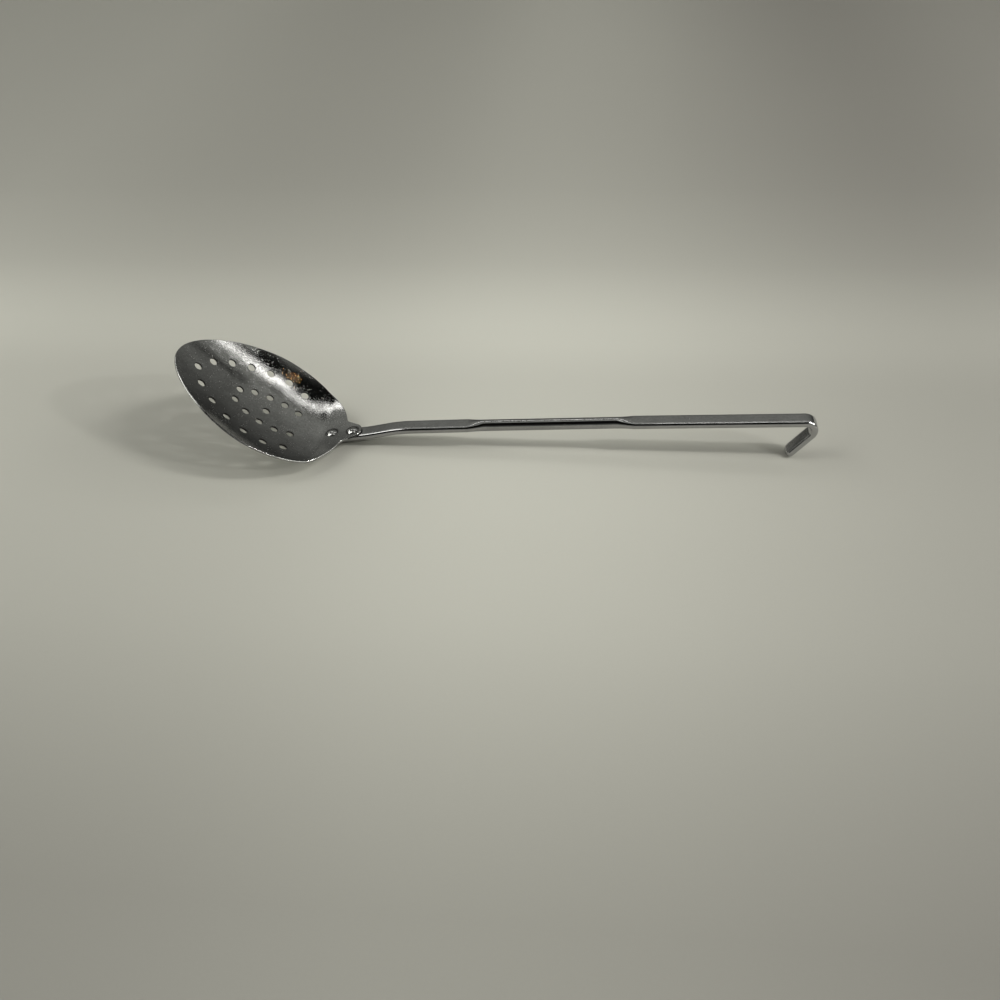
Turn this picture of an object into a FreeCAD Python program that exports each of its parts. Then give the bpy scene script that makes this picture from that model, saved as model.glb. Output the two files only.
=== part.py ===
"""Slotted ladle of polished stainless steel, lying on a table on its heel and its hook.

Millimetres, +Z up. The tip of the bowl points along -X and the hook along +X, and the
plane y = 0 divides the ladle into two like halves. It is modelled with the front rivet
over the origin, and moved at the end so that the origin is on the table, under the middle
of the whole length.
"""
import FreeCAD, Part
import os
from math import asin, atan2, cos, degrees, hypot, pi, radians, sin, sqrt
from FreeCAD import Vector

# Bowl and tongue, pressed from one sheet
sheet_thickness = 1.0
bowl_width = 77.0
tip_reach = 42.6            # from the widest place to the tip, in plan
side_fullness = 0.40        # of the outline beside the widest place; 0.55 is near an ellipse
tip_fullness = 0.52         # of the outline beside the tip
cross_radius = 103.0        # of every cross-section, on the inner face
heel_bend_start = 3.0       # from the front rivet
heel_bend_radius = 12.0     # the inner face in side view, from the tongue to the tip
heel_bend_angle = 32.0
floor_radius = 128.0
floor_angle = 21.9
tip_radius = 600.0
tip_angle = 5.0
rim_bevel = 0.25            # of both edges of the sheet, all round
heel_reach = 7.8            # of the round heel past the front rivet
tongue_reach = 16.6         # from the front rivet to the end of the tongue
tongue_end_radius = 5.8
tongue_taper = 28.0
neck_radius = 5.0

# Holes, in two ovals on each side of one hole at the centre
outer_hole_diameter = 4.3
outer_pitch = 11.3
outer_holes_aside = 6
outer_half_width = 27.1
outer_centre = 35.8         # along the inner face, from the front rivet
outer_tip_reach = 43.0
outer_heel_reach = 35.6
outer_fullness = 1.61
inner_hole_diameter = 4.0
inner_pitch = 8.7
inner_holes_aside = 5
inner_half_width = 11.0
inner_centre = 33.4
inner_reach = 23.5
inner_fullness = 1.83
middle_hole = 37.3

# Handle, one rod flattened at both ends
rod_diameter = 6.1
flat_width = 8.7
flat_thickness = 3.6
flat_rounding = 1.5
front_overlap = 5.5         # how far it reaches under the bowl past the front rivet
heel_slope = 9.6            # of the tongue and of the handle under it
rise_start = 18.0           # lengths along the handle, from the front rivet
rise_radius = 80.0
rise_angle = 4.0
crest_start = 32.0
crest_radius = 70.0
crest_angle = 9.8
front_flat_end = 75.0
taper_length = 8.5
rod_length = 70.0
rear_flat_length = 85.4
taper_bend = 0.5            # downward, along each taper
hook_radius = 4.6
hook_angle = 130.0
end_corner_radius = 3.0     # of both ends, in plan

# Rivets
rivet_pitch = 11.8
shank_diameter = 3.2
head_diameter = 6.0
head_height = 1.1
tail_diameter = 5.0
tail_height = 0.6

# Fineness of the construction
oval_steps = 4000           # of the walk round an oval of holes
face_margin = 1.5           # of the inner face past the outline on each side, before it is trimmed
offset_tolerance = 0.0001
edge_turn = 45.0            # the least turn between two faces at an edge that is bevelled

# Places that follow from the sizes
SIDE = Vector(0, 1, 0)
widest_x = heel_reach - bowl_width / 2
tip_x = widest_x - tip_reach
slope = radians(heel_slope)
along = Vector(cos(slope), 0, sin(slope))
upward = Vector(-sin(slope), 0, cos(slope))
front_end = Vector(
    flat_thickness / 2 * sin(slope) - front_overlap * cos(slope),
    0,
    flat_rounding * (1 - sin(slope)) + (flat_thickness / 2 - flat_rounding) * cos(slope),
)
seat = front_end + along * front_overlap + upward * (flat_thickness / 2)
rivet_seats = {"front_rivet": seat, "rear_rivet": seat + along * rivet_pitch}


def normal_at(heading):
    """The side-view normal of a path that rises at this angle along +X."""
    return Vector(-sin(heading), 0, cos(heading))


def outline_of_tip():
    """The pointed half of the bowl's outline, as one smooth curve on each side."""
    side = Vector(widest_x, bowl_width / 2, 0)
    tip = Vector(tip_x, 0, 0)
    curve = Part.BezierCurve()
    curve.setPoles([
        side,
        side - Vector(side_fullness * tip_reach, 0, 0),
        tip + Vector(0, tip_fullness * bowl_width / 2, 0),
        tip,
    ])
    edge = curve.toShape()
    return [edge, edge.mirror(Vector(0, 0, 0), SIDE)]


def outline_of_heel():
    """The round half of the outline, its necks and the tongue, as a list of edges."""
    centre = Vector(widest_x, 0, 0)
    radius = bowl_width / 2
    taper = radians(tongue_taper)
    outward = Vector(sin(taper), cos(taper), 0)
    back = Vector(-cos(taper), sin(taper), 0)
    tongue_end = Vector(tongue_reach, 0, 0)
    end_corner = tongue_end - Vector(tongue_end_radius, 0, 0) + outward * tongue_end_radius

    reach = radius + neck_radius
    start = end_corner + outward * neck_radius - centre
    start_back = start.dot(back)
    run = -start_back - sqrt(start_back ** 2 - start.dot(start) + reach ** 2)
    neck_centre = centre + start + back * run
    neck_on_tongue = neck_centre - outward * neck_radius
    toward_bowl = (centre - neck_centre).normalize()
    neck_on_bowl = neck_centre + toward_bowl * neck_radius
    neck_middle = neck_centre + (toward_bowl - outward).normalize() * neck_radius
    between = (atan2(neck_on_bowl.y, neck_on_bowl.x - centre.x) + pi / 2) / 2
    heel_middle = centre + Vector(cos(between), sin(between), 0) * radius
    side = centre + SIDE * radius

    half = [
        Part.Arc(side, heel_middle, neck_on_bowl).toShape(),
        Part.Arc(neck_on_bowl, neck_middle, neck_on_tongue).toShape(),
        Part.LineSegment(neck_on_tongue, end_corner).toShape(),
    ]
    other_half = [edge.mirror(Vector(0, 0, 0), SIDE) for edge in half]
    end_below = Vector(end_corner.x, -end_corner.y, 0)
    return half + [Part.Arc(end_corner, tongue_end, end_below).toShape()] + other_half


def bowl_bends():
    """Each bend of the inner face, as where it starts, the heading there, its radius and turn."""
    start = seat + upward * sheet_thickness - along * heel_bend_start
    heading = slope
    bends = []
    for radius, angle in (
        (heel_bend_radius, heel_bend_angle),
        (floor_radius, floor_angle),
        (tip_radius, tip_angle),
    ):
        bends.append((start, heading, radius, radians(angle)))
        centre = start + normal_at(heading) * radius
        heading -= radians(angle)
        start = centre - normal_at(heading) * radius
    return bends


def rib(point, heading):
    """A cross-section of the inner face, wider than the bowl, square to the path at a point."""
    up = normal_at(heading)
    centre = point + up * cross_radius
    spread = asin((bowl_width / 2 + face_margin) / cross_radius)

    def on_arc(angle):
        return centre + (SIDE * sin(angle) - up * cos(angle)) * cross_radius

    return Part.Arc(on_arc(-spread), on_arc(0), on_arc(spread)).toShape()


def inner_face():
    """The inner face of tongue and bowl, larger than their outline."""
    bends = bowl_bends()
    patches = rib(bends[0][0], slope).extrude(along * (2 * tongue_reach)).Faces
    for start, heading, radius, turn in bends:
        centre = start + normal_at(heading) * radius
        patches += rib(start, heading).revolve(centre, SIDE, degrees(turn)).Faces
    return Part.makeShell(patches)


def on_inner_face(back, aside):
    """A point of the inner face and its normal, from lengths measured on the face."""
    point = seat + upward * sheet_thickness - along * back
    heading = slope
    travelled = heel_bend_start
    for start, start_heading, radius, turn in bowl_bends():
        if back > travelled:
            angle = (back - travelled) / radius
            heading = start_heading - angle
            point = start + (normal_at(start_heading) - normal_at(heading)) * radius
            travelled += radius * turn
    up = normal_at(heading)
    angle = aside / cross_radius
    toward_centre = up * cos(angle) - SIDE * sin(angle)
    return point + (up - toward_centre) * cross_radius, toward_centre


def oval_of_holes(centre, tip_reach, heel_reach, half_width, fullness, pitch, first, count):
    """Places at even steps round one side of an oval, from its tip end."""
    power = 2 / fullness
    last = None
    places = []
    for step in range(oval_steps + 1):
        angle = pi * step / oval_steps
        reach = tip_reach if angle < pi / 2 else -heel_reach
        place = (centre + reach * abs(cos(angle)) ** power, half_width * abs(sin(angle)) ** power)
        if last is None:
            due = place[1] >= first
        else:
            due = hypot(place[0] - last[0], place[1] - last[1]) >= pitch
        if due and len(places) < count:
            places.append(place)
            last = place
    return places


def hole_places():
    """Every hole of the bowl, as its place on the inner face and its diameter."""
    outer = oval_of_holes(outer_centre, outer_tip_reach, outer_heel_reach, outer_half_width,
                          outer_fullness, outer_pitch, 0, outer_holes_aside + 1)
    inner = oval_of_holes(inner_centre, inner_reach, inner_reach, inner_half_width,
                          inner_fullness, inner_pitch, inner_pitch / 2, inner_holes_aside)
    on_axis = [(outer[0], outer_hole_diameter), ((middle_hole, 0), inner_hole_diameter)]
    beside = [(place, outer_hole_diameter) for place in outer[1:]]
    beside += [(place, inner_hole_diameter) for place in inner]
    across = [((back, -aside), diameter) for (back, aside), diameter in beside]
    return on_axis + beside + across


def punch(back, aside, diameter):
    """The round punch that goes square through the sheet at one place."""
    point, normal = on_inner_face(back, aside)
    reach = 2 * sheet_thickness
    return Part.makeCylinder(diameter / 2, 2 * reach, point - normal * reach, normal)


def shank_bore(place):
    """The bore of one rivet through sheet and handle."""
    reach = flat_thickness + sheet_thickness
    return Part.makeCylinder(shank_diameter / 2, 2 * reach, place - upward * reach, upward)


def rim_edges(sheet):
    """The edges where the sheet's faces meet its cut rim, above and below."""
    edges = []
    for edge in sheet.Edges:
        middle = edge.valueAt((edge.FirstParameter + edge.LastParameter) / 2)
        normals = []
        for face in sheet.ancestorsOfType(edge, Part.Face):
            normals.append(face.normalAt(*face.Surface.parameter(middle)))
        if normals[0].getAngle(normals[-1]) > radians(edge_turn):
            edges.append(edge)
    return edges


def make_bowl():
    """The pressed sheet with its tongue, its holes and its rivet bores."""
    outline = Part.Face(Part.Wire(Part.__sortEdges__(outline_of_tip() + outline_of_heel())))
    block = outline.extrude(Vector(0, 0, bowl_width))
    trimmed = Part.makeShell(inner_face().common(block).Faces)
    sheet = trimmed.makeOffsetShape(-sheet_thickness, offset_tolerance, fill=True)
    sheet = sheet.makeChamfer(rim_bevel, rim_edges(sheet)).Solids[0]
    punches = [punch(*place, diameter) for place, diameter in hole_places()]
    bores = [shank_bore(place) for place in rivet_seats.values()]
    return sheet.cut(punches + bores)


def flat_section(point, heading):
    """The flattened bar's section with round corners, square to its path at a point."""
    up = normal_at(heading)
    straight_across = flat_width / 2 - flat_rounding
    straight_up = flat_thickness / 2 - flat_rounding
    corners = ((1, 1), (-1, 1), (-1, -1), (1, -1))

    def on_corner(corner, angle):
        side, level = corners[corner % 4]
        across = side * straight_across + flat_rounding * cos(angle)
        rise = level * straight_up + flat_rounding * sin(angle)
        return point + SIDE * across + up * rise

    edges = []
    for corner in range(4):
        angle = corner * pi / 2
        last = on_corner(corner, angle + pi / 2)
        arc = Part.Arc(on_corner(corner, angle), on_corner(corner, angle + pi / 4), last)
        edges.append(arc.toShape())
        edges.append(Part.LineSegment(last, on_corner(corner + 1, angle + pi / 2)).toShape())
    return Part.Wire(edges)


def round_section(point, heading):
    """The rod's section, square to its path at a point."""
    direction = Vector(cos(heading), 0, sin(heading))
    return Part.Wire(Part.makeCircle(rod_diameter / 2, point, direction))


def follow(section, start, heading, steps):
    """Pieces of bar with one section, through straights and bends as (length, rise in radians)."""
    pieces = []
    for length, rise in steps:
        face = Part.Face(section(start, heading))
        if rise == 0:
            run = Vector(cos(heading), 0, sin(heading)) * length
            pieces.append(face.extrude(run))
            start = start + run
        else:
            radius = length / rise
            centre = start + normal_at(heading) * radius
            pieces.append(face.revolve(centre, SIDE, -degrees(rise)))
            heading += rise
            start = centre - normal_at(heading) * radius
    return pieces, start, heading


def taper(section, next_section, start, heading):
    """The forged change from one section to the next, slightly bent down along its length."""
    bend = radians(taper_bend)
    end = start + Vector(cos(heading - bend / 2), 0, sin(heading - bend / 2)) * taper_length
    loft = Part.makeLoft([section(start, heading), next_section(end, heading - bend)], True, True)
    return loft, end, heading - bend


def flat_end(root, heading, length):
    """A straight end of the flattened bar, with round corners in plan and rounded edges."""
    half = flat_width / 2
    corner = end_corner_radius
    diagonal = corner * (1 - cos(pi / 4))
    near = [
        Part.LineSegment(Vector(0, half, 0), Vector(length - corner, half, 0)),
        Part.Arc(
            Vector(length - corner, half, 0),
            Vector(length - diagonal, half - diagonal, 0),
            Vector(length, half - corner, 0),
        ),
    ]
    edges = [curve.toShape() for curve in near]
    edges += [edge.mirror(Vector(0, 0, 0), SIDE) for edge in edges]
    edges.append(Part.makeLine(Vector(length, half - corner, 0), Vector(length, corner - half, 0)))
    edges.append(Part.makeLine(Vector(0, -half, 0), Vector(0, half, 0)))
    outline = Part.Face(Part.Wire(Part.__sortEdges__(edges)))
    plate = outline.extrude(Vector(0, 0, flat_thickness))
    plate.translate(Vector(0, 0, -flat_thickness / 2))
    level = [edge for edge in plate.Edges if edge.BoundBox.ZLength < flat_thickness / 2]
    around = [edge for edge in level if edge.CenterOfMass.x > end_corner_radius / 2]
    plate = plate.makeFillet(flat_rounding, around)
    plate.rotate(Vector(0, 0, 0), SIDE, -degrees(heading))
    plate.translate(root)
    return plate


def make_handle():
    """The whole handle with its two bores, from under the bowl to the tip of the hook."""
    start = front_end + along * (front_overlap + rise_start)
    under_tongue = flat_end(start, slope + pi, front_overlap + rise_start)
    rise = radians(rise_angle)
    crest = radians(crest_angle)
    rise_length = rise_radius * rise
    crest_length = crest_radius * crest
    front_bends = [
        (rise_length, rise),
        (crest_start - rise_start - rise_length, 0),
        (crest_length, -crest),
        (front_flat_end - crest_start - crest_length, 0),
    ]
    front, end, heading = follow(flat_section, start, slope, front_bends)
    front_taper, end, heading = taper(flat_section, round_section, end, heading)
    rod, end, heading = follow(round_section, end, heading, [(rod_length, 0)])
    rear_taper, end, heading = taper(round_section, flat_section, end, heading)
    hook = radians(hook_angle)
    rear_bends = [(rear_flat_length, 0), (hook_radius * hook, -hook)]
    rear, end, heading = follow(flat_section, end, heading, rear_bends)

    drop = -heading
    lowest = flat_rounding * (1 - sin(drop)) - (flat_thickness / 2 - flat_rounding) * cos(drop)
    arm = (end.z - lowest) / sin(drop)
    pieces = front + [front_taper] + rod + [rear_taper] + rear + [flat_end(end, heading, arm)]
    body = under_tongue.multiFuse(pieces).removeSplitter()
    return body.cut([shank_bore(place) for place in rivet_seats.values()])


def dome(radius, height):
    """A cap of a ball that stands on z = 0."""
    ball_radius = (radius ** 2 + height ** 2) / (2 * height)
    ball = Part.makeSphere(ball_radius, Vector(0, 0, height - ball_radius))
    return ball.common(Part.makeCylinder(radius, height))


def make_rivet(place, sheet):
    """One rivet, domed over the sheet and closed under the handle, seated on both."""
    shank = Part.makeCylinder(shank_diameter / 2, sheet_thickness + flat_thickness)
    shank.translate(Vector(0, 0, -flat_thickness))
    head = dome(head_diameter / 2, head_height)
    head.translate(Vector(0, 0, sheet_thickness))
    tail = dome(tail_diameter / 2, tail_height).mirror(Vector(0, 0, 0), Vector(0, 0, 1))
    tail.translate(Vector(0, 0, -flat_thickness))
    rivet = shank.multiFuse([head, tail])
    rivet.rotate(Vector(0, 0, 0), SIDE, -heel_slope)
    rivet.translate(place)
    return rivet.cut(sheet).removeSplitter()


def main():
    bowl = make_bowl()
    pieces = {"bowl": bowl, "handle": make_handle()}
    for name, place in rivet_seats.items():
        pieces[name] = make_rivet(place, bowl)
    hook_reach = pieces["handle"].optimalBoundingBox(False).XMax
    tip_overhang = bowl.optimalBoundingBox(False).XMin
    middle = Vector((hook_reach + tip_overhang) / 2, 0, 0)
    os.makedirs("parts", exist_ok=True)
    for name, piece in pieces.items():
        solid = piece.Solids[0]
        solid.translate(-middle)
        solid.exportStep("parts/" + name + ".step")


main()
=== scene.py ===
"""Looks of the slotted ladle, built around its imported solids. Sizes are in millimetres here,
as in the part, and become metres where a mesh is made."""
import math

import bmesh
import bpy
import numpy as np
from mathutils import Matrix, Vector, geometry


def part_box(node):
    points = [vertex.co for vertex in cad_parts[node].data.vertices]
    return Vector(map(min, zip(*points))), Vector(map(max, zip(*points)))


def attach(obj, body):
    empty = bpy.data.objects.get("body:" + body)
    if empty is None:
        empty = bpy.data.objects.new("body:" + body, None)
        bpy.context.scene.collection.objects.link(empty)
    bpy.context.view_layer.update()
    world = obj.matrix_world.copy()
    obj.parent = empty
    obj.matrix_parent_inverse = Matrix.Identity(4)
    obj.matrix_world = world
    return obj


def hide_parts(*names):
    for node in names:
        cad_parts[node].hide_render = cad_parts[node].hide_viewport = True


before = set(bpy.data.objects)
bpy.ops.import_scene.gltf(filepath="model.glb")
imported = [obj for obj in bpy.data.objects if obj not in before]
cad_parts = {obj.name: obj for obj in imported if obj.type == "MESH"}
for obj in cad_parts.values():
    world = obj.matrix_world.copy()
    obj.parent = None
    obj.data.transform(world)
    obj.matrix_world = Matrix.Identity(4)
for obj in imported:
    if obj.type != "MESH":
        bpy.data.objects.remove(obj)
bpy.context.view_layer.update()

MM = 0.001

# Bowl
SHEET = 1.0
BOWL_WIDTH = 77.0
TIP_REACH = 42.6
SIDE_FULLNESS = 0.40
TIP_FULLNESS = 0.52
CROSS_RADIUS = 103.0
HEEL_START = 3.0
BENDS = ((12.0, 32.0), (128.0, 21.9), (600.0, 5.0))
RIVET_SETBACK = 30.7
TONGUE_REACH = 16.6
TONGUE_END_RADIUS = 5.8
TONGUE_TAPER = 28.0
NECK_RADIUS = 5.0
RIM_ROUND = 0.28
HOLE_ROUND = 0.16

# Holes
OUTER_HOLE = 4.3
INNER_HOLE = 4.0
OUTER_OVAL = dict(centre=35.8, tip_reach=43.0, heel_reach=35.6, half_width=27.1,
                  fullness=1.61, pitch=11.3, count=7)
INNER_OVAL = dict(centre=33.4, tip_reach=23.5, heel_reach=23.5, half_width=11.0,
                  fullness=1.83, pitch=8.7, count=5)
MIDDLE_HOLE = 37.3

# Handle
ROD_RADIUS = 3.05
FLAT_HALF_WIDTH = 4.35
FLAT_HALF_THICKNESS = 1.8
FLAT_ROUNDING = 1.5
FRONT_OVERLAP = 5.5
SLOPE = math.radians(9.6)
RISE_START = 18.0
RISE = (80.0, 4.0)
CREST_START = 32.0
CREST = (70.0, 9.8)
FRONT_FLAT_END = 75.0
TAPER_LENGTH = 8.5
TAPER_BEND = 0.5
ROD_LENGTH = 70.0
REAR_FLAT_LENGTH = 85.4
HOOK = (4.6, 130.0)
END_CORNER = 3.0

# Rivets: radius and height of head and tail
RIVET_PITCH = 11.8
SHANK_RADIUS = 1.6
HEAD = (3.0, 1.1)
TAIL = (2.5, 0.6)

# Fineness of the meshes
OUTLINE_STEP = 0.8
LEAST_ARC_POINTS = 6
GRID = 0.8
EDGE_CLEARANCE = 0.55               # share of the grid that its points keep from an edge
RIM_STEPS = 4
HOLE_STEPS = 3
HOLE_SIDES = 44
OVAL_STEPS = 4000
SEARCH_RANGE = (-40.0, 160.0)       # lengths on the bowl between which a place is searched
HALVINGS = 44
STATION_STEP = 1.2
STATION_TURN = 0.05
STATION_GAP = 0.3
END_ROUND_TURN = 9                  # degrees of the end's rounding from one station to the next
END_STATIONS = 5
CORNER_POINTS = 9
TOP_POINTS = 12
ROD_CORNER = math.radians(48)       # turn of the rod that a flat's rounding becomes
RIVET_SIDES = 72
DOME_STEPS = 14
SHARP_ANGLE = math.radians(40)
WELD_REACH = 0.002
# Painted shade: the tongue's cut edge takes the near-black walls' steel
PAINTED_SHADE_EDGE_LIFT = 0.6                # the tongue's edge is dark where it faces up less than this

# Steels: pale and dull colour, strength of the pits, and roughness
STEELS = {
    "bowl_steel": ((0.68, 0.68, 0.67), (0.40, 0.40, 0.39), 1.0, 0.06),
    # near-black painted shade for the cut walls of the holes and the tongue's end
    "painted_shade_walls": ((0.06, 0.058, 0.055), (0.02, 0.02, 0.019), 0.6, 0.45),
    "handle_steel": ((0.66, 0.66, 0.655), (0.52, 0.52, 0.515), 0.4, 0.085),
    "rivet_steel": ((0.58, 0.58, 0.57), (0.50, 0.50, 0.49), 0.3, 0.07),
}
CLOUD = dict(scale=95, detail=5, rough=0.6)
SPECKLE = dict(scale=1150, detail=3, rough=0.65)
CLOUD_SHARE = 0.45
SPECKLE_SHARE = 0.55
MOTTLE_COLOUR_RANGE = (0.38, 0.62)
MOTTLE_GLOSS_RANGE = (0.34, 0.66)
ROUGHER = 0.05
SMOOTHER = 0.02
PIT_SCALE = 900
PIT_RANGE = (0.10, 0.36)
PIT_PATCHES = dict(scale=260, detail=3)
PIT_PATCH_RANGE = (0.46, 0.60)
PIT_COLOUR = (0.26, 0.255, 0.245)
PIT_SHADE = 0.55
PIT_ROUGHNESS = 0.42
HAIRS = ((0.35, 26, 0.010), (1.25, 34, 0.008), (2.3, 22, 0.010), (2.85, 30, 0.008))
HAIR_SLIMNESS = 60
HAIR_FADE = dict(scale=210, detail=2)
HAIR_FADE_RANGE = (0.45, 0.65)
HAIR_ROUGHNESS = 0.08
# Painted shade: a dark, rougher ring painted on the bowl round each rivet head, for the
# shadowed gap at its foot
RIVET_SHADE_REACH = (0.0031, 0.0042)      # metres from a rivet's middle
RIVET_SHADE_RAGGEDNESS = 0.0008
RIVET_SHADE_COLOUR = (0.03, 0.028, 0.025)
RIVET_SHADE_STRENGTH = 0.95
RIVET_SHADE_ROUGHNESS = 0.22
DENTS = dict(scale=120, detail=1)
DENT_DEPTH = 0.000008               # depths of the bumps in metres
TEXTURE = dict(scale=2300, detail=2)
TEXTURE_DEPTH = 0.00002
PIT_DEPTH = 0.000005
HAIR_DEPTH = 0.000003

# Floor
FLOOR_SIZE = 9.0
FLOOR_LEVEL = -0.0001
FLOOR_GRAIN = dict(scale=700, detail=4, rough=0.7)
FLOOR_TONE = dict(scale=2.2, detail=2)
GRAIN_SHARE = 0.35
TONE_SHARE = 0.65
FLOOR_RANGE = (0.3, 0.7)
FLOOR_COLOURS = ((0.655, 0.65, 0.585), (0.685, 0.68, 0.61))
FLOOR_DIM = (0.02, 0.01, 0.01)
# Painted shade: the floor is darker where the steel mirrors it than where the camera sees it
FLOOR_MIRRORED_SHADE = (0.34, 0.335, 0.31)    # what the steel sees of the floor
FLOOR_ROUGHNESS = 0.75
FLOOR_BUMP = (0.15, 0.0002)

# Painted light on the floor: a pool of light painted into its colour, falling off with depth
# and breadth: place in metres and share
FLOOR_LIGHT_DEPTH = (
    (-0.26, 0.54), (-0.15, 0.79), (-0.06, 0.92), (0.06, 0.92),
    (0.12, 1.0), (0.20, 0.78), (0.32, 0.62), (0.56, 0.58),
)
FLOOR_LIGHT_BREADTH = (
    (-0.42, 1.0), (-0.26, 0.88), (-0.12, 0.90), (0.0, 1.0),
    (0.12, 0.83), (0.26, 0.60), (0.42, 0.66),
)

# Glow of the room by angle in degrees, from the front horizon over the top to the back
WORLD_TINT = (0.99, 1.0, 0.93)
WORLD_GLOW = (
    (0.0, 0.09), (16.0, 0.08), (24.0, 0.004), (77.0, 0.003), (84.0, 0.32), (99.0, 0.32),
    (104.0, 0.003), (124.0, 0.004), (130.0, 0.25), (140.0, 0.21), (150.0, 0.15),
    (162.0, 0.10), (176.0, 0.04),
)

# Pale sides and a dim corner in front on the right: the shares of a direction to the left,
# right, up or front at which each begins and is full
SIDE_GLOW = 3.55
SIDE_LEFT = (0.66, 0.78)
SIDE_RIGHT = (0.76, 0.84)
SIDE_LIFT = (0.28, 0.45)
CORNER_GLOW = 0.22
CORNER_RIGHT = (0.22, 0.45)
CORNER_FRONT = (0.02, 0.25)

# A dark thing behind on the right, as the bowl's far rim sees it
DARK_PATCH = (0.645, 0.600, 0.475)
DARK_REACH = (0.108, 0.122)
DARK_EDGE = dict(scale=9.0, detail=2.0)
DARK_RAGGEDNESS = 0.15
DARK_GLOW = 0.02

# Lamps: level panels over the table, as name, place and size in metres, glow, colour, and
# turn in degrees
LAMP_HEIGHT = 1.2
WHITE = (1.0, 0.99, 0.96)
WARM = (1.0, 0.52, 0.19)
LAMPS = (
    ("key_panel", (1.12, -0.22), (0.60, 0.14), 39.0, WHITE, 0.0),
    ("left_panel", (-0.95, -0.10), (0.80, 0.35), 3.0, WHITE, 0.0),
    ("low_panel", (2.00, -0.75), (0.12, 0.12), 380.0, WHITE, 0.0),
    ("top_bar", (0.17, -0.03), (0.48, 0.05), 2.6, WHITE, -58.0),
    ("strip_left", (-0.50, 0.755), (0.98, 0.10), 2.8, WHITE, -11.0),
    ("strip_middle", (0.14, 0.675), (0.42, 0.09), 2.8, WHITE, 6.0),
    ("strip_hump", (0.50, 0.79), (0.36, 0.07), 2.8, WHITE, 0.0),
    ("strip_step", (0.76, 0.70), (0.20, 0.10), 2.8, WHITE, -8.0),
    ("strip_right", (1.12, 0.79), (0.54, 0.13), 3.4, WHITE, 12.0),
    ("warm_spot", (0.69, 0.485), (0.007, 0.012), 70.0, WARM, -15.0),
)

# Camera, as fitted to the photograph: pitch, yaw and roll in degrees, and its place when the
# front rivet is over the origin
CAMERA_TURNS = (41.13, 8.04, 3.31)
CAMERA_PLACE = (148.3, -417.4, 329.1)
SENSOR_WIDTH = 36.0
LENS = 36.0
CLIP_START = 0.01

ALONG = np.array([math.cos(SLOPE), math.sin(SLOPE)])
UPWARD = np.array([-math.sin(SLOPE), math.cos(SLOPE)])
CORE = FLAT_HALF_THICKNESS - FLAT_ROUNDING
FRONT_END = np.array([
    FLAT_HALF_THICKNESS * math.sin(SLOPE) - FRONT_OVERLAP * math.cos(SLOPE),
    FLAT_ROUNDING * (1 - math.sin(SLOPE)) + CORE * math.cos(SLOPE),
])
SEAT = FRONT_END + ALONG * FRONT_OVERLAP + UPWARD * FLAT_HALF_THICKNESS


# Meshes

def make_mesh(name, points, faces, normals=None):
    """A smooth piece from points in millimetres."""
    mesh = bpy.data.meshes.new(name)
    mesh.from_pydata((np.asarray(points) * MM).tolist(), [], faces)
    fixed = bmesh.new()
    fixed.from_mesh(mesh)
    bmesh.ops.recalc_face_normals(fixed, faces=fixed.faces)
    fixed.to_mesh(mesh)
    fixed.free()
    for polygon in mesh.polygons:
        polygon.use_smooth = True
    if normals is not None:
        mesh.normals_split_custom_set_from_vertices(normals.tolist())
    piece = bpy.data.objects.new(name, mesh)
    bpy.context.scene.collection.objects.link(piece)
    return piece


def weld(piece, sharp_angle=None):
    """Join doubled points, and leave edges that turn more than the angle unsmoothed."""
    mesh = bmesh.new()
    mesh.from_mesh(piece.data)
    bmesh.ops.remove_doubles(mesh, verts=mesh.verts, dist=WELD_REACH * MM)
    bmesh.ops.recalc_face_normals(mesh, faces=mesh.faces)
    if sharp_angle is not None:
        for edge in mesh.edges:
            edge.smooth = len(edge.link_faces) == 2 and edge.calc_face_angle(0) < sharp_angle
    mesh.to_mesh(piece.data)
    mesh.free()
    return piece


def bands(levels):
    """Faces between each closed row of point numbers and the next one."""
    faces = []
    for one, two in zip(levels, levels[1:]):
        for a in range(len(one)):
            b = (a + 1) % len(one)
            faces.append((one[a], one[b], two[b], two[a]))
    return faces


def normal_at(heading):
    """The direction at a right angle above a heading."""
    return np.array([-np.sin(heading), np.cos(heading)])


# Bowl

def bowl_bends():
    """Start length, start point, heading and radius of each bend of the inner face."""
    start = SEAT + UPWARD * SHEET - ALONG * HEEL_START
    heading = SLOPE
    travelled = HEEL_START
    bends = []
    for radius, angle in BENDS:
        turn = math.radians(angle)
        bends.append((travelled, start, heading, radius))
        start = start + (normal_at(heading) - normal_at(heading - turn)) * radius
        heading -= turn
        travelled += radius * turn
    return bends


BOWL_BENDS = bowl_bends()


def on_sheet(back, aside):
    """Points of the inner face and their normals, from lengths on the face."""
    back = np.asarray(back, float)
    turn = np.asarray(aside, float) / CROSS_RADIUS
    origin = SEAT + UPWARD * SHEET
    x = origin[0] - ALONG[0] * back
    z = origin[1] - ALONG[1] * back
    heading = np.full_like(back, SLOPE)
    for travelled, start, first, radius in BOWL_BENDS:
        here = back > travelled
        angle = (back - travelled) / radius
        x = np.where(here, start[0] + (np.sin(first - angle) - np.sin(first)) * radius, x)
        z = np.where(here, start[1] + (np.cos(first) - np.cos(first - angle)) * radius, z)
        heading = np.where(here, first - angle, heading)
    up_x, up_z = -np.sin(heading), np.cos(heading)
    lift = CROSS_RADIUS * (1 - np.cos(turn))
    points = np.stack([x + up_x * lift, CROSS_RADIUS * np.sin(turn), z + up_z * lift], -1)
    normals = np.stack([up_x * np.cos(turn), -np.sin(turn), up_z * np.cos(turn)], -1)
    return points, normals


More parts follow.
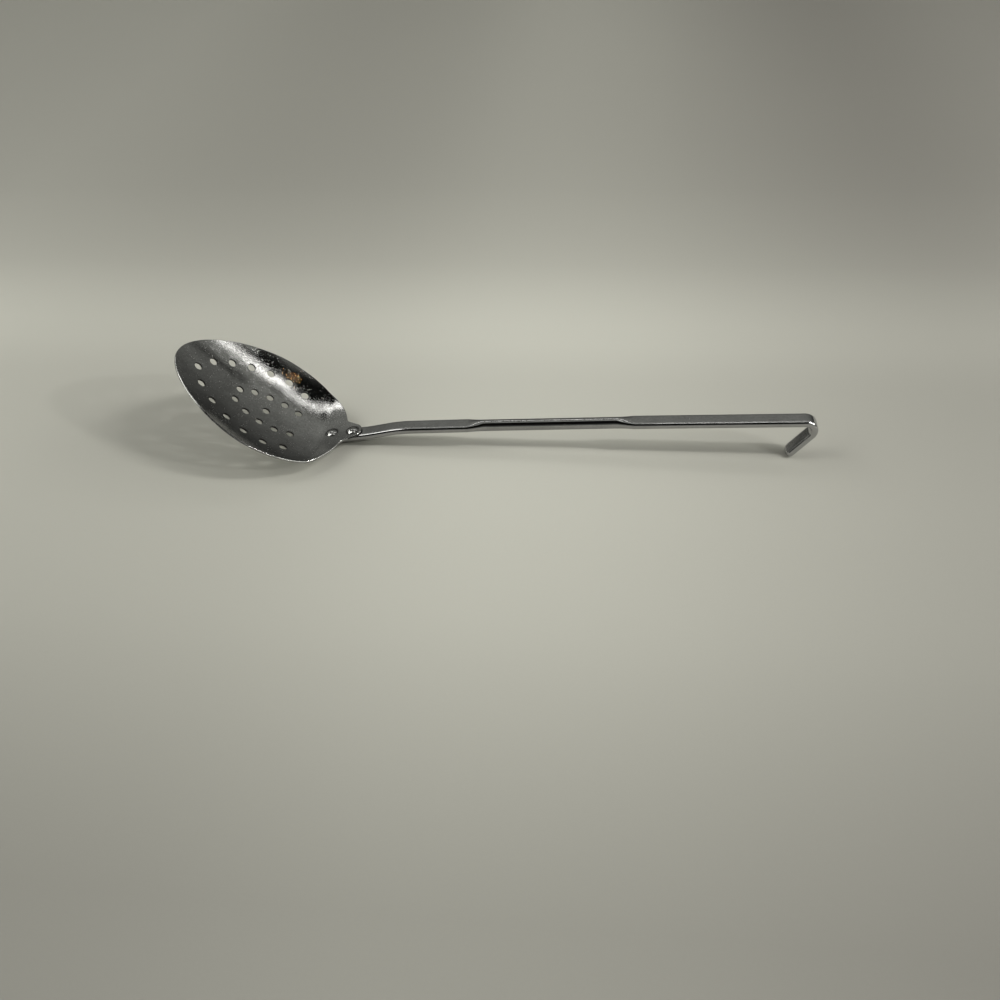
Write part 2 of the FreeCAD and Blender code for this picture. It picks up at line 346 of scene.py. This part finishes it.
def sheet_place(points):
    """Lengths on the inner face of the places that lie over these points in plan."""
    aside = CROSS_RADIUS * np.arcsin(points[:, 1] / CROSS_RADIUS)
    low, high = (np.full(len(points), end) for end in SEARCH_RANGE)
    for _ in range(HALVINGS):
        middle = (low + high) / 2
        ahead = on_sheet(middle, aside)[0][:, 0] > points[:, 0]
        low = np.where(ahead, middle, low)
        high = np.where(ahead, high, middle)
    return np.stack([(low + high) / 2, aside], -1)


def arc(centre, start, end, radius, step):
    """Points of an arc from one angle to another, without the last one."""
    count = max(LEAST_ARC_POINTS, int(abs(end - start) * radius / step))
    angles = start + (end - start) * np.arange(count) / count
    return centre + radius * np.stack([np.cos(angles), np.sin(angles)], -1)


def bowl_outline():
    """The closed outline of bowl and tongue in plan."""
    radius = BOWL_WIDTH / 2
    centre = np.array([-RIVET_SETBACK, 0.0])
    taper = math.radians(TONGUE_TAPER)
    outward = np.array([math.sin(taper), math.cos(taper)])
    back = np.array([-math.cos(taper), math.sin(taper)])
    end_centre = np.array([TONGUE_REACH - TONGUE_END_RADIUS, 0.0])
    corner = end_centre + outward * TONGUE_END_RADIUS
    start = corner + outward * NECK_RADIUS - centre
    along = start @ back
    run = -along - math.sqrt(along ** 2 - start @ start + (radius + NECK_RADIUS) ** 2)
    neck = centre + start + back * run
    on_bowl = math.atan2(*(neck - centre)[::-1])
    from_bowl = math.atan2(*(centre - neck)[::-1])
    from_tongue = math.atan2(-outward[1], -outward[0])
    line_count = max(2, int(run / OUTLINE_STEP))
    fractions = np.arange(line_count)[:, None] / line_count
    line = corner + back * run * fractions
    tip_count = int((TIP_REACH + radius) / OUTLINE_STEP)
    t = (np.arange(tip_count) / tip_count)[:, None]
    tip = np.array([-RIVET_SETBACK - TIP_REACH, 0.0])
    side = np.array([-RIVET_SETBACK, radius])
    ahead = side - [SIDE_FULLNESS * TIP_REACH, 0]
    beside = tip + [0, TIP_FULLNESS * radius]
    curve = ((1 - t) ** 3 * side + 3 * (1 - t) ** 2 * t * ahead
             + 3 * (1 - t) * t ** 2 * beside + t ** 3 * tip)
    half = np.concatenate([
        arc(end_centre, 0, math.pi / 2 - taper, TONGUE_END_RADIUS, OUTLINE_STEP / 2),
        line,
        arc(neck, from_tongue, from_bowl, NECK_RADIUS, OUTLINE_STEP / 2),
        arc(centre, on_bowl, math.pi / 2, radius, OUTLINE_STEP),
        curve,
    ])
    return np.concatenate([half, [tip], (half[1:] * [1, -1])[::-1]])


def oval_of_holes(centre, tip_reach, heel_reach, half_width, fullness, pitch, count, first):
    """Places one pitch apart along half an oval, from the first that lies so far aside."""
    power = 2 / fullness
    places = []
    for step in range(OVAL_STEPS + 1):
        angle = math.pi * step / OVAL_STEPS
        reach = tip_reach if angle < math.pi / 2 else -heel_reach
        back = centre + reach * abs(math.cos(angle)) ** power
        aside = half_width * abs(math.sin(angle)) ** power
        if places:
            due = math.hypot(back - places[-1][0], aside - places[-1][1]) >= pitch
        else:
            due = aside >= first
        if due and len(places) < count:
            places.append((back, aside))
    return places


def hole_places():
    """Place on the face and diameter of each hole."""
    outer = oval_of_holes(first=0, **OUTER_OVAL)
    inner = oval_of_holes(first=INNER_OVAL["pitch"] / 2, **INNER_OVAL)
    beside = [(place, OUTER_HOLE) for place in outer[1:]]
    beside += [(place, INNER_HOLE) for place in inner]
    across = [((back, -aside), diameter) for (back, aside), diameter in beside]
    return [(outer[0], OUTER_HOLE), ((MIDDLE_HOLE, 0.0), INNER_HOLE)] + beside + across


def inside(points, polygon):
    """Which points lie inside a closed polygon."""
    x, y = points[:, 0], points[:, 1]
    result = np.zeros(len(points), bool)
    for a, b in zip(polygon, np.roll(polygon, -1, axis=0)):
        crosses = (a[1] > y) != (b[1] > y)
        if crosses.any():
            at = a[0] + (y - a[1]) * (b[0] - a[0]) / ((b[1] - a[1]) or 1e-12)
            result ^= crosses & (x < at)
    return result


def lip(points, normals, outward, rounding, steps):
    """Rows of points and normals over a rounded edge, down the cut wall and round its foot."""
    rows = []
    for level, side in ((rounding, 1), (SHEET - rounding, -1)):
        centre = points - outward * rounding - normals * level
        for step in range(steps + 1):
            angle = math.pi / 2 * (step / steps if side > 0 else 1 - step / steps)
            normal = normals * math.sin(math.pi / 2 - angle) * side + outward * math.sin(angle)
            rows.append((centre + normal * rounding, normal))
    return rows


def bowl_edges():
    """The rim and each hole: points, normals, way out of the metal, rounding and its steps."""
    places = sheet_place(bowl_outline())
    points, normals = on_sheet(places[:, 0], places[:, 1])
    tangent = np.roll(points, -1, axis=0) - np.roll(points, 1, axis=0)
    outward = np.cross(tangent, normals)
    outward /= np.linalg.norm(outward, axis=1)[:, None]
    loops = [(points, normals, outward, RIM_ROUND, RIM_STEPS)]
    angles = (np.arange(HOLE_SIDES) * 2 * math.pi / HOLE_SIDES)[:, None]
    for (back, aside), diameter in hole_places():
        centre, axis = on_sheet(back, aside)
        first = np.cross(axis, [0, 1, 0])
        first /= np.linalg.norm(first)
        second = np.cross(axis, first)
        ring = centre + diameter / 2 * (np.cos(angles) * first + np.sin(angles) * second)
        spot = sheet_place(ring)
        ring, up = on_sheet(spot[:, 0], spot[:, 1])
        inward = centre - ring
        inward -= up * (inward * up).sum(1)[:, None]
        inward /= np.linalg.norm(inward, axis=1)[:, None]
        loops.append((ring, up, inward, HOLE_ROUND, HOLE_STEPS))
    return loops


def sheet_triangles(loops):
    """Flat places between the rounded edges, their triangles, and each edge's point numbers."""
    flat = []
    borders = []
    for ring, _, side, rounding, _ in loops:
        spot = sheet_place(ring - side * rounding)
        borders.append(list(range(len(flat), len(flat) + len(spot))))
        flat.extend(spot.tolist())
    flat = np.array(flat)
    rim, *holes = [flat[border] for border in borders]

    low, high = rim.min(0), rim.max(0)
    cells = []
    for number, aside in enumerate(np.arange(low[1], high[1], GRID * math.sqrt(3) / 2)):
        line = np.arange(low[0] + GRID / 2 * (number % 2), high[0], GRID)
        cells.append(np.stack([line, np.full_like(line, aside)], -1))
    cells = np.concatenate(cells)
    cells = cells[inside(cells, rim)]
    for polygon in (rim, *holes):
        near = np.full(len(cells), np.inf)
        for spot in polygon:
            near = np.minimum(near, np.hypot(*(cells - spot).T))
        cells = cells[near > GRID * EDGE_CLEARANCE]
    for hole in holes:
        cells = cells[~inside(cells, hole)]
    flat = np.concatenate([flat, cells])
    edges = [(a, b) for border in borders for a, b in zip(border, border[1:] + border[:1])]
    result = geometry.delaunay_2d_cdt([Vector(spot) for spot in flat], edges, [], 0, 1e-6)
    places = np.array([tuple(spot) for spot in result[0]])
    triangles = np.array([face for face in result[2] if len(face) == 3])
    number_of = {old: new for new, olds in enumerate(result[3]) for old in olds}
    centres = places[triangles].mean(1)
    keep = inside(centres, rim)
    for hole in holes:
        keep &= ~inside(centres, hole)
    borders = [[number_of[index] for index in border] for border in borders]
    return places, triangles[keep], borders


def make_bowl():
    """The sheet as two faces over one flat triangulation, joined by rounded edges."""
    loops = bowl_edges()
    places, triangles, borders = sheet_triangles(loops)
    upper, up = on_sheet(places[:, 0], places[:, 1])
    count = len(upper)
    all_points = [upper, upper - up * SHEET]
    all_normals = [up, -up]
    faces = triangles.tolist() + (triangles[:, ::-1] + count).tolist()
    total = 2 * count
    rim_end = None
    for loop, above in zip(loops, borders):
        levels = [above]
        for row_points, row_normals in lip(*loop)[1:-1]:
            all_points.append(row_points)
            all_normals.append(row_normals)
            levels.append(list(range(total, total + len(row_points))))
            total += len(row_points)
        levels.append([index + count for index in above])
        faces += bands(levels)
        rim_end = rim_end or len(faces)
    all_points = np.concatenate(all_points) - SHIFT
    piece = make_mesh("bowl_sheet", all_points, faces, np.concatenate(all_normals))
    # Painted shade: the hole walls, and the tongue's cut end where it faces up little, take the
    # near-black steel
    for polygon in piece.data.polygons[rim_end:]:
        polygon.material_index = 1
    tongue_end = (SEAT[0] + TONGUE_REACH - TONGUE_END_RADIUS - SHIFT[0]) * MM
    for polygon in piece.data.polygons[2 * len(triangles):rim_end]:
        if polygon.center.x > tongue_end and polygon.normal.z < PAINTED_SHADE_EDGE_LIFT:
            polygon.material_index = 1
    return piece


# Handle

def advance(place, heading, length, turn):
    """Where a straight stretch or an arc of this length ends."""
    chord = length if abs(turn) < 1e-9 else length / turn * 2 * math.sin(turn / 2)
    middle = heading + turn / 2
    return place + np.array([math.cos(middle), math.sin(middle)]) * chord


def handle_stretches():
    """Length and turn of each stretch, and how round the section is at its two ends."""
    rise_radius, rise_angle = RISE
    crest_radius, crest_angle = CREST
    hook_radius, hook_angle = HOOK
    rise_length = rise_radius * math.radians(rise_angle)
    crest_length = crest_radius * math.radians(crest_angle)
    stretches = [
        (FRONT_OVERLAP + RISE_START, 0, 0, 0),
        (rise_length, math.radians(rise_angle), 0, 0),
        (CREST_START - RISE_START - rise_length, 0, 0, 0),
        (crest_length, -math.radians(crest_angle), 0, 0),
        (FRONT_FLAT_END - CREST_START - crest_length, 0, 0, 0),
        (TAPER_LENGTH, -math.radians(TAPER_BEND), 0, 1),
        (ROD_LENGTH, 0, 1, 1),
        (TAPER_LENGTH, -math.radians(TAPER_BEND), 1, 0),
        (REAR_FLAT_LENGTH, 0, 0, 0),
        (hook_radius * math.radians(hook_angle), -math.radians(hook_angle), 0, 0),
    ]
    end = FRONT_END
    heading = SLOPE
    for length, turn, _, _ in stretches:
        end = advance(end, heading, length, turn)
        heading += turn
    lowest = FLAT_ROUNDING * (1 - math.sin(-heading)) - CORE * math.cos(-heading)
    stretches.append(((end[1] - lowest) / math.sin(-heading), 0, 0, 0))
    return stretches


def handle_path():
    """Stations of the handle: point, heading, how round, and distance from the nearer end."""
    stretches = handle_stretches()
    whole = sum(stretch[0] for stretch in stretches)
    ends = [FLAT_ROUNDING * (1 - math.cos(math.radians(angle)))
            for angle in range(0, 90, END_ROUND_TURN)]
    ends += list(np.linspace(FLAT_ROUNDING, END_CORNER, END_STATIONS))
    stations = []
    start = FRONT_END
    heading = SLOPE
    travelled = 0.0
    for number, (length, turn, round_from, round_to) in enumerate(stretches):
        count = max(2, int(length / STATION_STEP), int(abs(turn) / STATION_TURN))
        marks = list(np.linspace(0, length, count + 1)[:-1])
        if number == 0:
            marks = ends + [mark for mark in marks if mark > END_CORNER + STATION_GAP]
        if number == len(stretches) - 1:
            marks = [mark for mark in marks if mark < length - END_CORNER - STATION_GAP]
            marks += [length - mark for mark in reversed(ends)]
        for mark in marks:
            share = mark / length
            place = advance(start, heading, mark, turn * share)
            roundness = round_from + (round_to - round_from) * share
            from_end = min(travelled + mark, whole - travelled - mark)
            stations.append((place, heading + turn * share, roundness, max(from_end, 0.0)))
        start = advance(start, heading, length, turn)
        heading += turn
        travelled += length
    return stations


def section(roundness, from_end):
    """The upper half of the section, from one side to the other, as across and up."""
    angles = np.linspace(0, math.pi / 2, CORNER_POINTS)
    reach = FLAT_HALF_WIDTH - FLAT_ROUNDING
    y = np.concatenate([
        reach + FLAT_ROUNDING * np.cos(angles),
        np.linspace(reach, -reach, TOP_POINTS + 2)[1:-1],
        -reach - FLAT_ROUNDING * np.sin(angles),
    ])
    if from_end < END_CORNER:
        inset = END_CORNER - from_end
        half = FLAT_HALF_WIDTH - END_CORNER + math.sqrt(max(END_CORNER ** 2 - inset ** 2, 0))
        y = y * half / FLAT_HALF_WIDTH
        beyond = np.abs(y) - (FLAT_HALF_WIDTH - END_CORNER)
        edge = np.where(beyond > 0, END_CORNER - np.hypot(inset, beyond), from_end)
    else:
        edge = FLAT_HALF_WIDTH - np.abs(y)
    edge = np.clip(np.minimum(edge, FLAT_HALF_WIDTH - np.abs(y)), 0, FLAT_ROUNDING)
    z = CORE + np.sqrt(np.maximum(FLAT_ROUNDING ** 2 - (FLAT_ROUNDING - edge) ** 2, 0))
    if roundness > 0:
        turn = np.concatenate([
            np.linspace(0, ROD_CORNER, CORNER_POINTS),
            np.linspace(ROD_CORNER, math.pi - ROD_CORNER, TOP_POINTS + 2)[1:-1],
            np.linspace(math.pi - ROD_CORNER, math.pi, CORNER_POINTS),
        ])
        y = y * (1 - roundness) + ROD_RADIUS * np.cos(turn) * roundness
        z = z * (1 - roundness) + ROD_RADIUS * np.sin(turn) * roundness
    return y, z


def make_handle():
    """One bar, drawn through its stations and closed at both ends."""
    points = []
    levels = []
    for place, heading, roundness, from_end in handle_path():
        y, z = section(roundness, from_end)
        y = np.concatenate([y, y[::-1]])
        z = np.concatenate([z, -z[::-1]])
        up = normal_at(heading)
        levels.append(tuple(range(len(points), len(points) + len(y))))
        points.extend([(place[0] + up[0] * b, a, place[1] + up[1] * b) for a, b in zip(y, z)])
    faces = bands(levels) + [levels[0], levels[-1]]
    return weld(make_mesh("handle_bar", np.array(points) - SHIFT, faces))


# Rivets

def dome_profile(radius, height, level, side):
    """From the top of a low dome to its foot on the sheet."""
    ball = (radius ** 2 + height ** 2) / (2 * height)
    rows = []
    for step in range(DOME_STEPS + 1):
        reach = radius * step / DOME_STEPS
        rise = math.sqrt(ball ** 2 - reach ** 2) - ball + height
        rows.append((reach, level + side * rise))
    return rows


def make_rivet(name, seat):
    """Shank, domed head over the sheet and closed tail under the handle, turned as one."""
    foot = -2 * FLAT_HALF_THICKNESS
    profile = dome_profile(*HEAD, SHEET, 1)
    profile += [(SHANK_RADIUS, SHEET), (SHANK_RADIUS, foot)]
    profile += dome_profile(*TAIL, foot, -1)[::-1]
    points = []
    for radius, level in profile:
        for side in range(RIVET_SIDES):
            angle = 2 * math.pi * side / RIVET_SIDES
            flat = seat + ALONG * (radius * math.cos(angle)) + UPWARD * level
            points.append((flat[0], radius * math.sin(angle), flat[1]))
    levels = [range(row * RIVET_SIDES, (row + 1) * RIVET_SIDES) for row in range(len(profile))]
    return weld(make_mesh(name, np.array(points) - SHIFT, bands(levels)), SHARP_ANGLE)


# Materials

class Nodes:
    """Short calls for building the nodes of one material, or of the world."""

    def __init__(self, owner):
        owner.use_nodes = True
        self.tree = owner.node_tree
        is_world = isinstance(owner, bpy.types.World)
        self.shader = self.tree.nodes["Background" if is_world else "Principled BSDF"]
        texture_place = self.add("ShaderNodeTexCoord")
        self.place = texture_place.outputs["Generated" if is_world else "Object"]

    def add(self, kind, **values):
        node = self.tree.nodes.new(kind)
        for key, value in values.items():
            setattr(node, key, value)
        return node

    def link(self, start, end):
        self.tree.links.new(start, end)

    def mapped(self, scale, rotation):
        node = self.add("ShaderNodeMapping")
        node.inputs["Scale"].default_value = scale
        node.inputs["Rotation"].default_value = rotation
        self.link(self.place, node.inputs["Vector"])
        return node.outputs["Vector"]

    def noise(self, scale, detail, rough=0.55, vector=None):
        node = self.add("ShaderNodeTexNoise")
        node.inputs["Scale"].default_value = scale
        node.inputs["Detail"].default_value = detail
        node.inputs["Roughness"].default_value = rough
        self.link(vector or self.place, node.inputs["Vector"])
        return node.outputs["Fac"]

    def spots(self, scale):
        node = self.add("ShaderNodeTexVoronoi")
        node.inputs["Scale"].default_value = scale
        self.link(self.place, node.inputs["Vector"])
        return node.outputs["Distance"]

    def split(self):
        node = self.add("ShaderNodeSeparateXYZ")
        self.link(self.place, node.inputs[0])
        return node.outputs

    def distance(self, point):
        node = self.add("ShaderNodeVectorMath", operation="DISTANCE")
        self.link(self.place, node.inputs[0])
        node.inputs[1].default_value = point
        return node.outputs["Value"]

    def span(self, value, low, high, to_low=0.0, to_high=1.0, smooth=False):
        """A value brought from one range into another, and held at its ends."""
        interpolation = "SMOOTHSTEP" if smooth else "LINEAR"
        node = self.add("ShaderNodeMapRange", interpolation_type=interpolation)
        names = ("From Min", "From Max", "To Min", "To Max")
        for name, number in zip(names, (low, high, to_low, to_high)):
            node.inputs[name].default_value = number
        self.link(value, node.inputs["Value"])
        return node.outputs["Result"]

    def math(self, operation, one, two):
        node = self.add("ShaderNodeMath", operation=operation)
        for socket, value in zip(node.inputs, (one, two)):
            if isinstance(value, (int, float)):
                socket.default_value = value
            else:
                self.link(value, socket)
        return node.outputs["Value"]

    def plus(self, one, two):
        return self.math("ADD", one, two)

    def minus(self, one, two):
        return self.math("SUBTRACT", one, two)

    def times(self, one, two):
        return self.math("MULTIPLY", one, two)

    def blend(self, factor, one, two):
        node = self.add("ShaderNodeMix", data_type="RGBA")
        self.link(factor, node.inputs["Factor"])
        for name, value in (("A", one), ("B", two)):
            socket = [s for s in node.inputs if s.name == name and s.type == "RGBA"][0]
            if isinstance(value, tuple):
                socket.default_value = (*value, 1.0)
            else:
                self.link(value, socket)
        return [s for s in node.outputs if s.type == "RGBA"][0]

    def curve(self, value, stops, interpolation="CARDINAL"):
        """A curve through a few stops, each a place and its value."""
        first, last = stops[0][0], stops[-1][0]
        node = self.add("ShaderNodeValToRGB")
        node.color_ramp.interpolation = interpolation
        elements = node.color_ramp.elements
        while len(elements) < len(stops):
            elements.new(0.5)
        for element, (position, grey) in zip(elements, stops):
            element.position = (position - first) / (last - first)
            element.color = (grey, grey, grey, 1.0)
        self.link(self.span(value, first, last), node.inputs[0])
        return node.outputs["Color"]

    def bump(self, height, distance, normal=None, strength=1.0):
        node = self.add("ShaderNodeBump")
        node.inputs["Strength"].default_value = strength
        node.inputs["Distance"].default_value = distance
        self.link(height, node.inputs["Height"])
        if normal is not None:
            self.link(normal, node.inputs["Normal"])
        return node.outputs["Normal"]


def scratches(nodes, direction, stretch, width):
    """Fine hair scratches in one direction, as 1 on a scratch and 0 between."""
    across = stretch * HAIR_SLIMNESS
    vector = nodes.mapped((stretch, across, across), (0, 0, direction))
    lines = nodes.noise(1.0, detail=1.0, rough=0.4, vector=vector)
    offset = nodes.math("ABSOLUTE", nodes.minus(lines, 0.5), 0)
    return nodes.span(offset, 0.0, width, 1.0, 0.0)


def steel(name, rivet_seats=()):
    """Polished stainless steel with pits, hair scratches and cloudy wear, and a ring of painted
    shade round each rivet seat.
    """
    bright, dull, pits, rough = STEELS[name]
    material = bpy.data.materials.new(name)
    nodes = Nodes(material)
    cloud = nodes.noise(**CLOUD)
    speckle = nodes.noise(**SPECKLE)
    mottle = nodes.plus(nodes.times(cloud, CLOUD_SHARE), nodes.times(speckle, SPECKLE_SHARE))
    colour = nodes.blend(nodes.span(mottle, *MOTTLE_COLOUR_RANGE), dull, bright)
    pit = nodes.span(nodes.spots(PIT_SCALE), *PIT_RANGE, 1.0, 0.0, smooth=True)
    pit = nodes.times(pit, nodes.span(nodes.noise(**PIT_PATCHES), *PIT_PATCH_RANGE))
    hair = None
    for direction, stretch, width in HAIRS:
        line = scratches(nodes, direction, stretch, width)
        hair = line if hair is None else nodes.math("MAXIMUM", hair, line)
    hair = nodes.times(hair, nodes.span(nodes.noise(**HAIR_FADE), *HAIR_FADE_RANGE))
    colour = nodes.blend(nodes.times(pit, PIT_SHADE * pits), colour, PIT_COLOUR)
    gloss = nodes.span(mottle, *MOTTLE_GLOSS_RANGE, rough + ROUGHER, rough - SMOOTHER)
    gloss = nodes.plus(gloss, nodes.times(hair, HAIR_ROUGHNESS))
    gloss = nodes.plus(gloss, nodes.times(pit, PIT_ROUGHNESS * pits))
    # Painted shade: darken the bowl in a ring round each rivet head
    for seat in rivet_seats:
        unevenness = nodes.times(nodes.minus(cloud, 0.5), RIVET_SHADE_RAGGEDNESS)
        away = nodes.plus(nodes.distance(seat), unevenness)
        ring = nodes.span(away, *RIVET_SHADE_REACH, 1.0, 0.0, smooth=True)
        colour = nodes.blend(nodes.times(ring, RIVET_SHADE_STRENGTH), colour, RIVET_SHADE_COLOUR)
        gloss = nodes.plus(gloss, nodes.times(ring, RIVET_SHADE_ROUGHNESS))
    normal = nodes.bump(nodes.noise(**DENTS), DENT_DEPTH * pits)
    normal = nodes.bump(nodes.noise(**TEXTURE), TEXTURE_DEPTH * pits, normal)
    normal = nodes.bump(nodes.minus(1.0, pit), PIT_DEPTH * pits, normal)
    normal = nodes.bump(nodes.minus(1.0, hair), HAIR_DEPTH, normal)
    nodes.link(colour, nodes.shader.inputs["Base Color"])
    nodes.link(gloss, nodes.shader.inputs["Roughness"])
    nodes.link(normal, nodes.shader.inputs["Normal"])
    nodes.shader.inputs["Metallic"].default_value = 1.0
    return material


def floor_material():
    """A pale matt surface with a painted pool of light in the middle, which steel mirrors as a
    grey one with painted shade.
    """
    material = bpy.data.materials.new("pale_floor")
    nodes = Nodes(material)
    grain = nodes.noise(**FLOOR_GRAIN)
    tone = nodes.noise(**FLOOR_TONE)
    mix = nodes.plus(nodes.times(grain, GRAIN_SHARE), nodes.times(tone, TONE_SHARE))
    colour = nodes.blend(nodes.span(mix, *FLOOR_RANGE), *FLOOR_COLOURS)
    place = nodes.split()
    # Painted light: the floor's colour is brightest in a pool near the object and dims towards
    # FLOOR_DIM away from it
    painted_light = nodes.times(nodes.curve(place["Y"], FLOOR_LIGHT_DEPTH),
                          nodes.curve(place["X"], FLOOR_LIGHT_BREADTH))
    colour = nodes.blend(painted_light, FLOOR_DIM, colour)
    # Painted shade: reflected rays see the floor darker
    seen_in_steel = nodes.add("ShaderNodeLightPath").outputs["Is Glossy Ray"]
    colour = nodes.blend(seen_in_steel, colour, FLOOR_MIRRORED_SHADE)
    strength, distance = FLOOR_BUMP
    nodes.link(colour, nodes.shader.inputs["Base Color"])
    nodes.shader.inputs["Roughness"].default_value = FLOOR_ROUGHNESS
    nodes.link(nodes.bump(grain, distance, strength=strength), nodes.shader.inputs["Normal"])
    return material


# Stage

def make_floor():
    bpy.ops.mesh.primitive_plane_add(size=FLOOR_SIZE, location=(0, 0, FLOOR_LEVEL))
    floor = bpy.context.object
    floor.name = "floor"
    floor.data.materials.append(floor_material())


def make_world():
    """A dim room with a band of light overhead, a grey backdrop and two pale sides."""
    world = bpy.data.worlds.new("studio")
    bpy.context.scene.world = world
    nodes = Nodes(world)
    towards = nodes.split()
    left = nodes.times(towards["X"], -1.0)
    front = nodes.times(towards["Y"], -1.0)
    angle = nodes.times(nodes.math("ARCTAN2", towards["Z"], front), 180 / math.pi)
    glow = nodes.curve(angle, WORLD_GLOW, "LINEAR")
    side = nodes.math("MAXIMUM", nodes.span(left, *SIDE_LEFT),
                      nodes.span(towards["X"], *SIDE_RIGHT))
    side = nodes.times(side, nodes.span(towards["Z"], *SIDE_LIFT, 0.0, SIDE_GLOW))
    unevenness = nodes.times(nodes.noise(**DARK_EDGE), DARK_RAGGEDNESS)
    away = nodes.plus(unevenness, nodes.distance(DARK_PATCH))
    glow = nodes.times(glow, nodes.span(away, *DARK_REACH, DARK_GLOW, 1.0))
    corner = nodes.times(nodes.span(towards["X"], *CORNER_RIGHT),
                         nodes.span(front, *CORNER_FRONT, 0.0, CORNER_GLOW))
    strength = nodes.plus(nodes.plus(glow, side), corner)
    nodes.link(strength, nodes.shader.inputs["Strength"])
    nodes.shader.inputs["Color"].default_value = (*WORLD_TINT, 1.0)


def make_lamp(name, place, size, glow, colour, turn):
    """A level panel that shines down, with the same glow all over."""
    data = bpy.data.lights.new(name, "AREA")
    data.shape = "RECTANGLE"
    data.size, data.size_y = size
    data.energy = glow * math.pi * size[0] * size[1]
    data.color = colour
    lamp = bpy.data.objects.new(name, data)
    lamp.location = (*place, LAMP_HEIGHT)
    lamp.rotation_euler = (0, 0, math.radians(turn))
    bpy.context.scene.collection.objects.link(lamp)


def make_camera():
    """The photograph's camera."""
    pitch, yaw, roll = (math.radians(angle) for angle in CAMERA_TURNS)
    place = np.array(CAMERA_PLACE) - SHIFT
    right = np.array([math.cos(yaw), math.sin(yaw), 0])
    ahead = np.array([-math.sin(yaw), math.cos(yaw), 0])
    down = -math.sin(pitch) * ahead - np.array([0, 0, math.cos(pitch)])
    forward = math.cos(pitch) * ahead - np.array([0, 0, math.sin(pitch)])
    cam_right = math.cos(roll) * right + math.sin(roll) * down
    cam_down = -math.sin(roll) * right + math.cos(roll) * down
    axes = Matrix([cam_right, -cam_down, -forward]).transposed().to_4x4()
    axes.translation = Vector(place * MM)
    data = bpy.data.cameras.new("camera")
    data.sensor_width = SENSOR_WIDTH
    data.lens = LENS
    data.clip_start = CLIP_START
    camera = bpy.data.objects.new("camera", data)
    camera.matrix_world = axes
    bpy.context.scene.collection.objects.link(camera)
    bpy.context.scene.camera = camera


# Assembly

def shift_to_frame():
    """How far the pieces, as drawn round the front rivet, lie from their place in the frame."""
    places = sheet_place(bowl_outline())
    points, normals = on_sheet(places[:, 0], places[:, 1])
    low = min(points[:, 0].min(), (points - normals * SHEET)[:, 0].min())
    return np.array([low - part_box("bowl")[0].x / MM, 0.0, 0.0])


SHIFT = shift_to_frame()

bowl = make_bowl()
handle = make_handle()
front = make_rivet("rivet_front", SEAT)
rear = make_rivet("rivet_rear", SEAT + ALONG * RIVET_PITCH)

rivet_seats = []
for seat in (SEAT, SEAT + ALONG * RIVET_PITCH):
    spot = np.array([seat[0] + UPWARD[0] * SHEET, 0, seat[1] + UPWARD[1] * SHEET]) - SHIFT
    rivet_seats.append(tuple(spot * MM))
bowl.data.materials.append(steel("bowl_steel", rivet_seats))
bowl.data.materials.append(steel("painted_shade_walls"))
handle.data.materials.append(steel("handle_steel"))
rivet_steel = steel("rivet_steel")
for rivet in (front, rear):
    rivet.data.materials.append(rivet_steel)

for piece, node, slot in (
    (bowl, "bowl", "pressed_sheet"),
    (handle, "handle", "forged_rod"),
    (front, "front_rivet", "rivet"),
    (rear, "rear_rivet", "rivet"),
):
    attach(piece, "root")
    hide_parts(node)

make_floor()
make_world()
for lamp in LAMPS:
    make_lamp(*lamp)
make_camera()
bpy.context.scene.view_settings.view_transform = "Standard"
